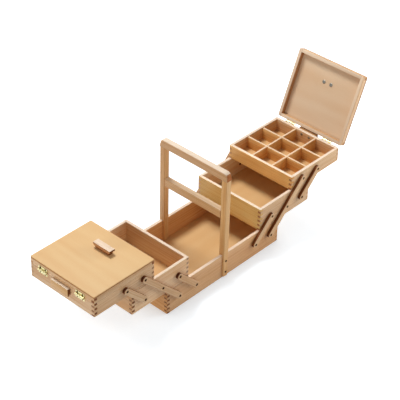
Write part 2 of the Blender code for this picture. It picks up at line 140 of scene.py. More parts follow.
# Boards by the start of their name: a tone, and the colours that go into the plain face with their shares
BOARD_TONES = (
    # Painted shade: the base's left end takes a share of the painted shade brown
    ("base_left_end", 1.14, {"warm_face": 1.0, "golden_face": 0.3, "pull_side": 0.2}),
    ("base", 1.03, {"warm_face": 0.9}),
    # Painted shade: the top rail is toned darker where the lamp overhead lights it more
    ("handle_top_rail", 0.9, {"warm_face": 0.6}),
    ("handle_front_post", 1.06, {"golden_face": 0.5}),
    ("handle", 1.0, {"golden_face": 0.25}),
    ("right_top_inner_end", 1.09, {"golden_face": 0.8}),
    # Painted light: the right middle tray's inner end is painted pale yellow for light that falls on it
    ("right_middle_inner_end", 1.0, {"painted_light_straw": 1.0}),
    # Painted light: the middle trays' back walls are made paler with the rim colour for the light that falls
    # into the trays
    ("left_middle_back_wall", 1.08, {"rim": 0.6}),
    ("right_middle_back_wall", 1.08, {"rim": 0.6}),
    ("left_middle_inner_end", 1.0, {"rim": 0.4}),
    ("left_middle_front_wall", 1.16, {"rim": 0.1}),
    ("left_top_front_wall", 1.06, {}),
    ("left_top_outer_end", 1.0, {"rim": 0.12}),
    ("right_middle_front_wall", 1.0, {"rim": 0.12}),
    ("", 1.0, {"warm_face": 0.15}),
)
END_TONES = {"base": 0.6, "left": 0.5, "right": 0.85}

# Stage: the floor and how far the box darkens it, and lamps with their settings of power and width
FLOOR_REACH = 40.0
FLOOR_NOOK = 0.07
SHADOW_REACH = (0.09, 0.25)
LAMPS = (
    ("key_light", "key", "key_width", (0.12, 0.8, 1.9)),
    ("front_fill", "front_fill", "fill_width", (1.8, -1.1, 0.7)),
    ("left_fill", "left_fill", "fill_width", (-3.0, 0.0, 0.8)),
)
WHITE = (1, 1, 1, 1)


def paint(red, green, blue):
    """A linear colour from the everyday 0 to 255 values."""
    shares = [value / 255 for value in (red, green, blue)]
    return tuple(s / 12.92 if s <= 0.04045 else ((s + 0.055) / 1.055) ** 2.4 for s in shares)


def colour_property(name, description, default):
    return bpy.props.FloatVectorProperty(
        name=name, description=description, default=default, size=3, min=0, max=1, subtype="COLOR"
    )


def length_property(name, description, default):
    return bpy.props.FloatProperty(
        name=name, description=description, default=default, min=0, unit="LENGTH", precision=4
    )


def power_property(name, description, default):
    return bpy.props.FloatProperty(name=name, description=description, default=default, min=0, unit="POWER")


def share_property(name, description, default):
    return bpy.props.FloatProperty(name=name, description=description, default=default, min=0, max=1)


class WoodSettings(bpy.types.PropertyGroup):
    """Colours of the solid beech and the plywood."""

    face: colour_property("Face", "Long grain of the paler boards", paint(233, 198, 155))
    warm_face: colour_property("Warm face", "Long grain of the redder boards", paint(233, 187, 136))
    golden_face: colour_property("Golden face", "Long grain of the yellowest boards", paint(245, 196, 118))
    # Painted light: a pale yellow that stands in for light on one board
    painted_light_straw: colour_property("Painted light straw", "Pale yellow painted light on a board that the lamps light too little", paint(252, 222, 150))
    # Grip: the top rail's top, paler and partly a painted highlight
    grip: colour_property("Grip", "Worn top of the handle", paint(243, 233, 216))
    # Painted shade: a dark reddish brown that stands in for shade on the pulls, the open lid's back board and
    # the base's left end
    pull_side: colour_property("Painted shade brown", "Painted shade on the pulls' sides and other shaded wood", paint(172, 102, 49))
    streak: colour_property("Streak", "Tint that the growth bands give the beech", paint(227, 204, 178))
    end: colour_property("End grain", "Ends of the boards and their fingers", paint(186, 112, 50))
    # Rim: partly paler sanded wood, partly a painted highlight from the light above
    rim: colour_property("Rim", "Paler faces that look up: sanded wood with a painted highlight", paint(255, 236, 215))
    arm_edge: colour_property("Arm edge", "Dark narrow sides of the folding arms", paint(132, 77, 33))
    arm_end: colour_property("Arm end", "Darkest wood, round the arms' ends", paint(88, 42, 14))
    veneer: colour_property("Veneer", "Face of the plywood", paint(237, 200, 145))
    veneer_streak: colour_property("Veneer streak", "Darker figure of the plywood", paint(224, 180, 122))
    veneer_back: colour_property("Veneer back", "Paler lower face of the plywood", paint(225, 199, 168))
    ply_light: colour_property("Light ply", "Outer layers on a plywood edge", paint(205, 150, 95))
    ply_dark: colour_property("Dark ply", "Core layers on a plywood edge", paint(162, 106, 60))


class FittingSettings(bpy.types.PropertyGroup):
    """Sizes and colours of the hinges and screws."""

    brass: colour_property("Brass", "Plated hinge leaves", paint(228, 217, 165))
    bronze: colour_property("Bronze", "Dark screws of the pivots and posts", paint(86, 52, 24))
    olive: colour_property("Olive", "Dark olive screws of the hinges", paint(84, 62, 20))
    steel: colour_property("Steel", "Plain screws of the pulls", paint(138, 134, 124))
    pivot_head: length_property("Pivot head", "Width of a pivot screw's head", 6.6 * MM)
    post_head: length_property("Post head", "Width of a post screw's head", 6.4 * MM)
    lid_pull_head: length_property("Lid pull head", "Width of a lid pull screw's head", 10.5 * MM)
    end_pull_head: length_property("End pull head", "Width of an end pull screw's head", 7.5 * MM)
    hinge_head: length_property("Hinge head", "Width of a hinge screw's head", 5.6 * MM)
    nut_head: length_property("Nut", "Width of the sleeve nut inside a pivot", 7 * MM)


class StageSettings(bpy.types.PropertyGroup):
    """Light and floor."""

    floor: colour_property("Floor", "Colour of the floor as it lights the object", (0.88, 0.88, 0.88))
    floor_seen: colour_property("Seen floor", "Colour of the floor's shading, as seen", (0.52, 0.6, 0.67))
    lift: share_property("Floor lift", "Light of its own that the picture gives the floor", 0.72)
    sky: share_property("Sky", "Even light from all round", 0.2)
    key: power_property("Key light", "Soft lamp overhead, a little behind the box", 28.0)
    key_width: length_property("Key width", "Width of the lamp overhead", 0.7)
    front_fill: power_property("Front fill", "Wide lamp at the front right", 22.0)
    left_fill: power_property("Left fill", "Weak lamp at the left", 24.0)
    fill_width: length_property("Fill width", "Width of the other lamps", 1.2)


def node(tree, kind, settings=None, **inputs):
    """One node. An input is a value or a node's output; an underscore stands for a space in its name."""
    made = tree.nodes.new(kind)
    for key, value in (settings or {}).items():
        setattr(made, key, value)
    for key, value in inputs.items():
        plug(value, made.inputs[key.replace("_", " ")])
    return made


def plug(value, socket):
    """Leads a node's output to a socket, or gives the socket its own value."""
    if isinstance(value, bpy.types.NodeSocket):
        socket.id_data.links.new(value, socket)
    else:
        socket.default_value = value


def tree_of(*values):
    """The node tree of the first output among some values."""
    return next(value.id_data for value in values if isinstance(value, bpy.types.NodeSocket))


def worked_out(kind, operation, values):
    """The outputs of a maths node."""
    made = node(tree_of(*values), kind, {"operation": operation})
    for value, socket in zip(values, made.inputs):
        plug(value, socket)
    return made.outputs


def maths(operation, *values):
    return worked_out("ShaderNodeMath", operation, values)["Value"]


def vector_maths(operation, *values):
    return worked_out("ShaderNodeVectorMath", operation, values)["Vector"]


def dot(first, second):
    return worked_out("ShaderNodeVectorMath", "DOT_PRODUCT", (first, second))["Value"]


def summed(start, *terms):
    """A start with values added to it, each by its weight."""
    for value, weight in terms:
        start = maths("MULTIPLY_ADD", value, weight, start)
    return start


def mixed(factor, first, second, blend="MIX"):
    """Two colours mixed by a factor."""
    settings = {"data_type": "RGBA", "blend_type": blend}
    made = node(tree_of(factor, first, second), "ShaderNodeMix", settings)
    for index, value in ((0, factor), (6, first), (7, second)):
        if not isinstance(value, bpy.types.NodeSocket) and index:
            value = (*value, 1.0)[:4]
        plug(value, made.inputs[index])
    return made.outputs[2]


def remapped(value, low, high, to_low=0.0, to_high=1.0):
    """A value eased from one range to another."""
    settings = {"interpolation_type": "SMOOTHSTEP"}
    limits = {"From_Min": low, "From_Max": high, "To_Min": to_low, "To_Max": to_high}
    return node(value.id_data, "ShaderNodeMapRange", settings, Value=value, **limits).outputs["Result"]


def noise(vector, stretch, detail=2.0, roughness=0.5):
    """Noise whose repeats per metre are given along and across the grain."""
    scaled = vector_maths("MULTIPLY", vector, stretch)
    values = {"Scale": 1.0, "Detail": detail, "Roughness": roughness}
    return node(vector.id_data, "ShaderNodeTexNoise", Vector=scaled, **values).outputs["Fac"]


def add_sockets(tree, sockets):
    """Adds a group's inputs and outputs, and gives the sockets that its nodes are joined to."""
    for label, way, kind in sockets:
        tree.interface.new_socket(name=label, in_out=way, socket_type=f"NodeSocket{kind}")
    return tree.nodes.new("NodeGroupInput").outputs, tree.nodes.new("NodeGroupOutput").inputs


def beech_figure(tree, given):
    """Solid beech. The grain runs along X of the Grain input, whose origin is the heart of the tree."""
    grain = given["Grain"]

    # Growth rings, slow tone and fine fibres
    slow = vector_maths("MULTIPLY", grain, (0.07, 1, 1))
    settings = {"wave_type": "RINGS", "rings_direction": "X", "wave_profile": "SAW"}
    waves = {"Scale": 62.0, "Distortion": 9.0, "Detail": 2.0, "Detail_Scale": 0.3}
    rings = node(tree, "ShaderNodeTexWave", settings, Vector=slow, **waves).outputs["Fac"]
    tone = remapped(noise(grain, (3, 26, 26)), 0.3, 0.75)
    fibre = noise(grain, (34, 950, 950), 3.0, 0.6)
    streaks = noise(grain, (7, 210, 210), 2.0)
    bold_streaks = remapped(streaks, 0.35, 0.75)

    # Short dark flecks of the rays
    fleck_place = vector_maths("MULTIPLY", grain, (150, 700, 700))
    fleck = node(tree, "ShaderNodeTexVoronoi", Vector=fleck_place, Scale=1.0)
    fleck_shape = remapped(fleck.outputs["Distance"], 0.16, 0.34, 1.0, 0.0)
    fleck_chance = node(tree, "ShaderNodeSeparateXYZ", Vector=fleck.outputs["Color"]).outputs["X"]
    flecks = maths("MULTIPLY", fleck_shape, remapped(fleck_chance, 0.45, 0.6))

    parts = ((tone, 0.5), (rings, 0.36), (bold_streaks, 0.46), (fibre, 0.25), (flecks, 0.42))
    colour = mixed(summed(-0.14, *parts), given["Face"], given["Streak"])
    # Faces that look up take the rim colour: partly paler sanded wood, partly a painted highlight
    pale = maths("MULTIPLY", given["Rim"], remapped(streaks, 0.2, 0.85, 0.95, 0.6))
    colour = mixed(pale, colour, given["Rim colour"])

    # End grain drinks the varnish, so it is darker and duller
    pores = noise(grain, (900, 1900, 1900), 2.0)
    pore_depth = remapped(pores, 0.3, 0.7, 0.0, 0.5)
    end_colour = mixed(pore_depth, given["End grain"], given["Streak"], "MULTIPLY")
    colour = mixed(given["End"], colour, end_colour)
    shine = summed(0.32, (fibre, 0.16), (given["End"], 0.2))
    height = summed(fibre, (flecks, -0.5), (streaks, 0.6))
    return colour, shine, height


def veneer_figure(tree, given):
    """Plywood. The grain runs along X of the Grain input, and Z goes through the layers from one face."""
    grain = given["Grain"]

    # Broad peeled figure with fine pores
    slow = vector_maths("MULTIPLY", grain, (0.22, 1, 1))
    settings = {"wave_type": "BANDS", "bands_direction": "Y", "wave_profile": "SIN"}
    waves = {"Scale": 7.0, "Distortion": 7.0, "Detail": 2.0, "Detail_Scale": 1.2}
    bands = node(tree, "ShaderNodeTexWave", settings, Vector=slow, **waves).outputs["Fac"]
    tone = remapped(noise(grain, (4, 13, 13)), 0.3, 0.75)
    fibre = noise(grain, (40, 900, 900), 3.0, 0.6)
    pores = remapped(noise(grain, (130, 1700, 1700), 1.0), 0.62, 0.75)
    dark = summed(0.0, (bands, 0.16), (tone, 0.34), (fibre, 0.28), (pores, 0.25))
    face = mixed(given["Back"], given["Face"], given["Back face"])
    colour = mixed(dark, face, mixed(0.55, face, given["Streak"], "MULTIPLY"))

    # Layers along the edge
    layer = maths("PINGPONG", given["Layer"], 1.0)
    layers = mixed(remapped(layer, 0.35, 0.65), given["Light ply"], given["Dark ply"])
    layers = mixed(maths("MULTIPLY", fibre, 0.5), layers, given["Dark ply"])
    colour = mixed(given["Edge"], colour, layers)
    shine = summed(0.3, (fibre, 0.14), (given["Edge"], 0.25))
    height = summed(fibre, (pores, -0.6))
    return colour, shine, height


# Wood figures: what builds each, and the numbers and colours that it is given
FIGURES = {
    "Beech": (beech_figure, ("End", "Rim"), ("Face", "Streak", "End grain", "Rim colour")),
    "Veneer": (
        veneer_figure,
        ("Edge", "Back", "Layer"),
        ("Face", "Streak", "Back face", "Light ply", "Dark ply"),
    ),
}


def figure_group(name):
    """A wood figure's node group, built the first time that a finish asks for it."""
    tree = bpy.data.node_groups.get(name)
    if not tree:
        build, numbers, colours = FIGURES[name]
        tree = bpy.data.node_groups.new(name, "ShaderNodeTree")
        sockets = [("Grain", "INPUT", "Vector")]
        sockets += [(label, "INPUT", "Float") for label in numbers]
        sockets += [(label, "INPUT", "Color") for label in colours]
        results = {"Colour": "Color", "Roughness": "Float", "Height": "Float"}
        sockets += [(label, "OUTPUT", kind) for label, kind in results.items()]
        given, result = add_sockets(tree, sockets)
        for value, label in zip(build(tree, given), results):
            plug(value, result[label])
    return tree


def new_finish(name):
    """A new material, its nodes and the inputs of its shader."""
    made = bpy.data.materials.new(name)
    made.use_nodes = True
    return made, made.node_tree, made.node_tree.nodes["Principled BSDF"].inputs


def toned(colour, factor):
    return (*[min(value * factor, 1.0) for value in colour[:3]], 1.0)


def wood_finish(name, figure_name, turn, place, bump):
    """A finish with a wood figure, whose grain is turned and placed.

    Gives the finish, the coordinates of a spot and the inputs of the figure.
    """
    made, tree, shader = new_finish(name)
    spot = node(tree, "ShaderNodeTexCoord").outputs
    grain = node(tree, "ShaderNodeMapping", Vector=spot["Object"], Rotation=turn, Location=place)
    group = {"node_tree": figure_group(figure_name)}
    figure = node(tree, "ShaderNodeGroup", group, Grain=grain.outputs["Vector"])
    height = figure.outputs["Height"]
    relief = node(tree, "ShaderNodeBump", Strength=bump, Distance=WOOD_RELIEF, Height=height)
    plug(figure.outputs["Colour"], shader["Base Color"])
    plug(figure.outputs["Roughness"], shader["Roughness"])
    plug(relief.outputs["Normal"], shader["Normal"])
    plug(0.25, shader["Specular IOR Level"])
    return made, spot, figure.inputs


def blended(first, second, share):
    return tuple(a + (b - a) * share for a, b in zip(first, second))


def board_face(name):
    """The long-grain colour of a board, by the first start in the table that its name has."""
    wood = bpy.context.scene.sewing_box_wood
    tone, shares = next(row[1:] for row in BOARD_TONES if name.startswith(row[0]))
    colour = wood.face
    for other, share in shares.items():
        colour = blended(colour, getattr(wood, other), share)
    return toned(colour, tone)


def beech(name, along, face, rim=None, end=None, up=Z_AXIS, dark_edges_about=None):
    """A beech finish for one board, pale where it looks up.

    Its ends are dark, or all its sides about a given axis.
    """
    wood = bpy.context.scene.sewing_box_wood
    end = end or wood.end
    chance = random.Random(name)
    heart = (chance.uniform(0, 3), chance.uniform(0.05, 0.16), chance.uniform(0.06, 0.2))
    turn = along.rotation_difference(X_AXIS).to_euler()
    made, spot, given = wood_finish(f"beech_{name}", "Beech", turn, heart, bump=0.18)
    normal = spot["Normal"]
    # Painted highlight: faces that look along up get the rim colour, partly for paler sanded wood
    plug(remapped(dot(normal, up), 0.4, 0.9), given["Rim"])

    # End grain, and on the arms the dark narrow sides as well
    lengthwise = maths("ABSOLUTE", dot(normal, along))
    if dark_edges_about:
        facing = maths("ABSOLUTE", dot(normal, dark_edges_about))
        plug(remapped(facing, 0.3, 0.6, 1.0, 0.0), given["End"])
        edge = mixed(remapped(lengthwise, 0.35, 0.9), end, wood.arm_end)
        plug(edge, given["End grain"])
    else:
        plug(remapped(lengthwise, 0.6, 0.85), given["End"])
        plug(toned(end, 1.0), given["End grain"])
    tone = chance.uniform(0.96, 1.04)
    streak = tuple(value * share for value, share in zip(face, wood.streak))
    for label, colour in (("Face", face), ("Streak", streak), ("Rim colour", rim or wood.rim)):
        plug(toned(colour, tone), given[label])
    return made


def plywood(name, along, through, low_face, thickness):
    """A plywood finish for one panel, whose layers lie across the direction through it."""
    wood = bpy.context.scene.sewing_box_wood
    chance = random.Random(name)
    place = (chance.uniform(0, 3), chance.uniform(0, 3), chance.uniform(0, 3))
    turn = Matrix((along, through.cross(along), through)).to_euler()
    made, spot, given = wood_finish(f"plywood_{name}", "Veneer", turn, place, bump=0.12)
    upward = dot(spot["Normal"], through)
    depth = dot(spot["Object"], through)
    layer = maths("DIVIDE", maths("SUBTRACT", depth, low_face), thickness / PLY_LAYERS)
    plug(remapped(maths("ABSOLUTE", upward), 0.75, 0.35), given["Edge"])
    plug(remapped(upward, -0.3, -0.7), given["Back"])
    plug(layer, given["Layer"])
    colours = {
        "Face": wood.veneer,
        "Streak": wood.veneer_streak,
        "Back face": wood.veneer_back,
        "Light ply": wood.ply_light,
        "Dark ply": wood.ply_dark,
    }
    for label, colour in colours.items():
        plug(toned(colour, 1.0), given[label])
    return made


def metal(name, colour, rough, tarnish_share=0.55):
    """A metal with fine brush marks along Y and small tarnished spots."""
    made, tree, shader = new_finish(name)
    spot = node(tree, "ShaderNodeTexCoord").outputs["Object"]
    turn = Y_AXIS.rotation_difference(X_AXIS).to_euler()
    brushed = node(tree, "ShaderNodeMapping", Vector=spot, Rotation=turn).outputs["Vector"]
    marks = noise(brushed, (120, 4200, 4200), 3.0)
    tarnish = noise(spot, (300, 300, 300), 3.0, 0.65)
    worn = remapped(tarnish, 0.45, 0.7, 0.0, tarnish_share)
    plug(mixed(worn, colour, [value * 0.55 for value in colour]), shader["Base Color"])
    plug(summed(rough, (marks, 0.2), (worn, 0.25)), shader["Roughness"])
    relief = node(tree, "ShaderNodeBump", Strength=0.12, Distance=METAL_RELIEF, Height=marks)
    plug(relief.outputs["Normal"], shader["Normal"])
    plug(1.0, shader["Metallic"])
    return made


def dress(name, finish):
    """Gives a CAD node its finish."""
    for slot in NODES[name].material_slots:
        slot.material = finish


def lid_place(side):
    """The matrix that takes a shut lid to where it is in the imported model."""
    if side == "left":
        return Matrix.Identity(4)
    hinge = Vector(JOINTS["right_lid_hinge"]["pos_m"])
    return Matrix.Translation(hinge) @ Matrix.Rotation(LID_OPEN, 4, "Y") @ Matrix.Translation(-hinge)


def shut_box(side, node_name):
    """The corners of a lid's node when it is shut, taken from the left lid."""
    low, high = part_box(f"left_{node_name}")
    if side == "left":
        return low, high
    return Vector((-high.x, low.y, low.z)), Vector((-low.x, high.y, high.z))


def add_object(name, data):
    made = bpy.data.objects.new(name, data)
    bpy.context.scene.collection.objects.link(made)
    return made


def let_ride(piece, smooth_angle, body):
    """Smooths a piece and lets it ride on a body."""
    piece.data.shade_smooth()
    piece.data.set_sharp_from_angle(angle=smooth_angle)
    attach(piece, body)


def add_piece(name, bm, finishes, body):
    """A finished mesh as a piece of the object that rides on a body."""
    bmesh.ops.recalc_face_normals(bm, faces=bm.faces)
    mesh = bpy.data.meshes.new(name)
    bm.to_mesh(mesh)
    bm.free()
    for finish in finishes:
        mesh.materials.append(finish)
    piece = add_object(name, mesh)
    let_ride(piece, BOARD_SMOOTH_ANGLE, body)
    return piece


def add_board(bm, outline, across, low, high, finish=0, ease=EDGE_EASE, corner=0.0):
    """A board in a bmesh: an outline along X or Y and up, given its thickness across, with soft edges.

    Upright edges at both the ends and the outer face are rounded by the corner, where one is given.
    """
    board = bmesh.new()
    near = [board.verts.new((u, low, v) if across == "Y" else (low, u, v)) for u, v in outline]
    face = board.faces.new(near)
    grown = bmesh.ops.extrude_face_region(board, geom=[face])["geom"]
    moved = [item for item in grown if isinstance(item, bmesh.types.BMVert)]
    step = high - low
    bmesh.ops.translate(board, verts=moved, vec=(0, step, 0) if across == "Y" else (step, 0, 0))
    bmesh.ops.recalc_face_normals(board, faces=board.faces)
    if corner:
        round_outer_corners(board, across, low, high, corner)
    sharp = [edge for edge in board.edges if edge.calc_face_angle(0) > EASED_ANGLE]
    bmesh.ops.bevel(board, geom=sharp, offset=ease, segments=2, profile=0.5, affect="EDGES")
    for face in board.faces:
        face.material_index = finish
    part = bpy.data.meshes.new("board")
    board.to_mesh(part)
    board.free()
    bm.from_mesh(part)
    bpy.data.meshes.remove(part)


def round_outer_corners(board, across, low, high, corner):
    """Rounds the upright edges at a board's two ends on the side that lies further from its middle line."""
    along, deep = (0, 1) if across == "Y" else (1, 0)
    outer = max(low, high, key=abs)
    reach = [pick(vert.co[along] for vert in board.verts) for pick in (min, max)]
    near = MM / 100

    def at_corner(vert):
        from_end = min(abs(vert.co[along] - end) for end in reach)
        return abs(vert.co[deep] - outer) < near and from_end < near

    upright = [edge for edge in board.edges if all(at_corner(vert) for vert in edge.verts)]
    upright = [edge for edge in upright if abs(edge.verts[0].co.z - edge.verts[1].co.z) > MM]
    bmesh.ops.bevel(board, geom=upright, offset=corner, segments=4, profile=0.5, affect="EDGES")


def stepped_outline(low, high, base, top, lower_reach, upper_reach):
    """A board's face whose lower and upper fingers reach past its ends by different lengths."""
    middle = (base + top) / 2
    step = middle - GLUE_LINE / 2 if lower_reach > upper_reach else middle + GLUE_LINE / 2
    side = [(lower_reach, base), (lower_reach, step), (upper_reach, step), (upper_reach, top)]
    return [(high + reach, z) for reach, z in side] + [(low - reach, z) for reach, z in reversed(side)]


def notched_outline(low, high, base, top, notches, width, from_top):
    """A strip's face with a half-lap notch at each place."""
    middle = (base + top) / 2
    cut_edge, plain_edge = (top, base) if from_top else (base, top)
    points = [(low, plain_edge), (high, plain_edge), (high, cut_edge)]
    for place in sorted(notches, reverse=True):
        points += [
            (place + width / 2, cut_edge),
            (place + width / 2, middle),
            (place - width / 2, middle),
            (place - width / 2, cut_edge),
        ]
    return points + [(low, cut_edge)]


def grip_outline(wall, outer, base, top):
    """The side of a pull that is flat on top and hollowed below, for the fingers."""
    depth = (outer - wall) * GRIP_COVE_SHARE
    steps = [math.radians(90 * step / GRIP_COVE_STEPS) for step in range(GRIP_COVE_STEPS + 1)]
    hollow = [(outer - depth * math.sin(a), base + GRIP_COVE * (1 - math.cos(a))) for a in steps]
    return [(wall, top), (outer, top), *hollow, (wall, base + GRIP_COVE)]


def lip_outline(low, high, base, top):
    """The side of a bar whose ends are cut away from below."""
    inner_low, inner_high, tip = low + LIP_TAPER, high - LIP_TAPER, top - LIP_TIP
    return [(low, top), (high, top), (high, tip), (inner_high, base), (inner_low, base), (low, tip)]


def box_outline(low, high, base, top):
    """The side of a plain bar."""
    return [(low, top), (high, top), (high, base), (low, base)]


def lifted(geometry, height):
    """A geometry moved up by a height, in Geometry Nodes."""
    tree = geometry.id_data
    lift = node(tree, "ShaderNodeCombineXYZ", Z=height).outputs["Vector"]
    return node(tree, "GeometryNodeTransform", Geometry=geometry, Translation=lift).outputs["Geometry"]


def screw_tree():
    """Geometry Nodes: a pan-headed screw with a cross slot on every point, turned to the point's facing."""
    tree = bpy.data.node_groups.new("Screw heads", "GeometryNodeTree")
    sizes = ("Head width", "Head height", "Slot length", "Cross length", "Slot width", "Slot depth")
    sockets = [("Seats", "INPUT", "Geometry"), *[(label, "INPUT", "Float") for label in sizes]]
    sockets += [("Finish", "INPUT", "Material"), ("Screws", "OUTPUT", "Geometry")]
    given, result = add_sockets(tree, sockets)
    height = given["Head height"]

    # The head: a short drum that is drawn in twice towards its crown
    rim = maths("MULTIPLY", height, DRUM_SHARE)
    radius = maths("MULTIPLY", given["Head width"], 0.5)
    drum = node(tree, "GeometryNodeMeshCylinder", Vertices=20, Depth=rim, Radius=radius)
    solid, crown = drum.outputs["Mesh"], drum.outputs["Top"]
    for rise, inward in CROWN_STEPS:
        lift = maths("MULTIPLY", height, rise)
        grown = node(tree, "GeometryNodeExtrudeMesh", Mesh=solid, Selection=crown, Offset_Scale=lift)
        crown = grown.outputs["Top"]
        taller = grown.outputs["Mesh"]
        drawn = node(tree, "GeometryNodeScaleElements", Geometry=taller, Selection=crown, Scale=inward)
        solid = drawn.outputs["Geometry"]
    head = lifted(solid, maths("MULTIPLY", rim, 0.5))

    # The slot and its cross bar, cut from the crown
    cut = {"operation": "DIFFERENCE", "solver": "MANIFOLD"}
    slotted = node(tree, "GeometryNodeMeshBoolean", cut, Mesh_1=head)
    depth = maths("MULTIPLY", given["Slot depth"], 2.0)
    for length, along, across in (("Slot length", "X", "Y"), ("Cross length", "Y", "X")):
        sides = {along: given[length], across: given["Slot width"], "Z": depth}
        size = node(tree, "ShaderNodeCombineXYZ", **sides)
        bar = node(tree, "GeometryNodeMeshCube", Size=size.outputs["Vector"])
        plug(lifted(bar.outputs["Mesh"], height), slotted.inputs["Mesh 2"])

    # One on every seat, each with its slot turned its own way
    facing = node(tree, "GeometryNodeInputNamedAttribute", {"data_type": "FLOAT_VECTOR"}, Name="facing")
    direction = facing.outputs["Attribute"]
    upright = node(tree, "FunctionNodeAlignRotationToVector", {"axis": "Z"}, Vector=direction)
    spin = node(tree, "FunctionNodeRandomValue", {"data_type": "FLOAT"}, Seed=5)
    plug(math.pi, spin.inputs[3])
    about = node(tree, "FunctionNodeAxisAngleToRotation", Axis=(0, 0, 1), Angle=spin.outputs[1])
    turns = {"Rotation": upright.outputs["Rotation"], "Rotate_By": about.outputs["Rotation"]}
    turned = node(tree, "FunctionNodeRotateRotation", {"rotation_space": "LOCAL"}, **turns)
    screws = {"Instance": slotted.outputs["Mesh"], "Rotation": turned.outputs["Rotation"]}
    placed = node(tree, "GeometryNodeInstanceOnPoints", Points=given["Seats"], **screws)
    real = node(tree, "GeometryNodeRealizeInstances", Geometry=placed.outputs["Instances"])
    finish = {"Geometry": real.outputs["Geometry"], "Material": given["Finish"]}
    finished = node(tree, "GeometryNodeSetMaterial", **finish)
    plug(finished.outputs["Geometry"], result["Screws"])
    return tree


def add_screws(name, body, seats, head, finish):
    """One mesh with a screw on each (place, facing) seat, riding on a body. The head is a width's setting."""
    tree = bpy.data.node_groups.get("Screw heads") or screw_tree()
    points = bpy.data.meshes.new(f"{name}_seats")
    points.from_pydata([place for place, _ in seats], [], [])
    facing = points.attributes.new("facing", "FLOAT_VECTOR", "POINT")
    facing.data.foreach_set("vector", [value for _, direction in seats for value in direction])
    piece = add_object(name, points)
    modifier = piece.modifiers.new("Screw heads", "NODES")
    modifier.node_group = tree
    identifiers = {item.name: item.identifier for item in tree.interface.items_tree if item.in_out == "INPUT"}
    for label, value in {**head_sizes(head), "Finish": finish}.items():
        modifier[identifiers[label]] = value
    graph = bpy.context.evaluated_depsgraph_get()
    mesh = bpy.data.meshes.new_from_object(piece.evaluated_get(graph))
    if not mesh.polygons:
        raise RuntimeError(f"{name} came out empty")
    piece.modifiers.remove(modifier)
    piece.data = mesh
    mesh.name = name
    let_ride(piece, SCREW_SMOOTH_ANGLE, body)


def head_sizes(head):
    """The screw tree's inputs for a kind of head. A nut has one slot right across, a screw has a cross."""
    width = getattr(bpy.context.scene.sewing_box_fittings, head)
    height = HEAD_HEIGHTS[head]
    slot, cross = NUT_SLOT if head == "nut_head" else SCREW_SLOT
    return {
        "Head width": width,
        "Head height": height,
        "Slot length": width * slot,
        "Cross length": width * cross,
        "Slot width": width * SLOT_WIDTH,
        "Slot depth": height * SLOT_DEPTH,
    }


def arm_pivots(arm):
    """The pivot centres of an arm on its outer face, and the way that face looks."""
    low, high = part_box(arm)
    inset = ARM_WIDTH / 2
    outward = -1 if low.y < 0 else 1
    outer = low.y if outward < 0 else high.y
    inner_x, outer_x = (high.x - inset, low.x + inset) if low.x < 0 else (low.x + inset, high.x - inset)
    lower = Vector((inner_x, outer, low.z + inset))
    upper = Vector((outer_x, outer, high.z - inset))
    found = [lower, upper]
    if arm.endswith("long_arm"):
        found.insert(1, (lower + upper) / 2)
    return found, Vector((0, outward, 0))


class SEWINGBOX_OT_finish_boards(bpy.types.Operator):
    """Gives every board of the base and the trays its own beech finish"""

    bl_idname = "sewing_box.finish_boards"
    bl_label = "Finish the boards"

    def execute(self, context):
        wood = context.scene.sewing_box_wood
        for name in NODES:
            if name.endswith(("_wall", "_end")):
                along = X_AXIS if name.endswith("_wall") else Y_AXIS
                face = board_face(name)
                dark = toned(wood.end, END_TONES[name.split("_")[0]])
                dress(name, beech(name, along, face, end=blended(face, dark, self.dark_share(name))))
        return {"FINISHED"}

    def dark_share(self, name):
        """How much of the end grain's darkness a board's ends have."""
        if name.endswith("_back_wall") or (name.endswith("_end") and "right" in name):
            return 0.4
        if name.endswith("_front_wall"):
            return 0.8
        return 0.6 if name.endswith("_inner_end") else 1.0


class SEWINGBOX_OT_finish_handle(bpy.types.Operator):
    """Gives the posts and rails of the handle frame their beech finish"""

    bl_idname = "sewing_box.finish_handle"
    bl_label = "Finish the handle"

    def execute(self, context):
        wood = context.scene.sewing_box_wood
        for face in FACES:
            name = f"handle_{face}_post"
            dress(name, beech(name, Z_AXIS, board_face(name)))
        # Painted highlight on the rails' tops: the top rail's is the grip colour, and the mid rail's top is
        # painted paler and brighter for the light that the top rail's shadow takes from it
        tops = {"handle_top_rail": (wood.grip, 0.75, 1.0), "handle_mid_rail": (wood.rim, 0.35, 1.12)}
        for name, (pale, share, tone) in tops.items():
            face = board_face(name)
            dress(name, beech(name, Y_AXIS, face, rim=toned(blended(face, pale, share), tone)))
        return {"FINISHED"}


class SEWINGBOX_OT_finish_arms(bpy.types.Operator):
    """Gives the folding arms their beech faces and dark narrow sides"""

    bl_idname = "sewing_box.finish_arms"
    bl_label = "Finish the arms"

    def execute(self, context):
        wood = context.scene.sewing_box_wood
        for name in NODES:
            if name.endswith("_arm"):
                pivots, _ = arm_pivots(name)
                along = (pivots[-1] - pivots[0]).normalized()
                edge = wood.arm_edge
                if "_back_" in name:
                    edge = blended(wood.face, edge, 0.5)
                dress(name, beech(name, along, wood.face, end=edge, dark_edges_about=Y_AXIS))
        return {"FINISHED"}


class SEWINGBOX_OT_finish_panels(bpy.types.Operator):
    """Gives the bottoms and the lid panels their plywood finish"""

    bl_idname = "sewing_box.finish_panels"
    bl_label = "Finish the panels"

    def execute(self, context):
        for name in NODES:
            if name.endswith("_bottom"):
                low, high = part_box(name)
                dress(name, plywood(name, X_AXIS, Z_AXIS, low.z, high.z - low.z))
        for side in SIDES:
            place = lid_place(side)
            low, high = shut_box(side, "lid_panel")
            through = place.to_3x3() @ Z_AXIS
            low_face = (place @ low).dot(through)
            dress(f"{side}_lid_panel", plywood(f"{side}_lid", Y_AXIS, through, low_face, high.z - low.z))
        return {"FINISHED"}


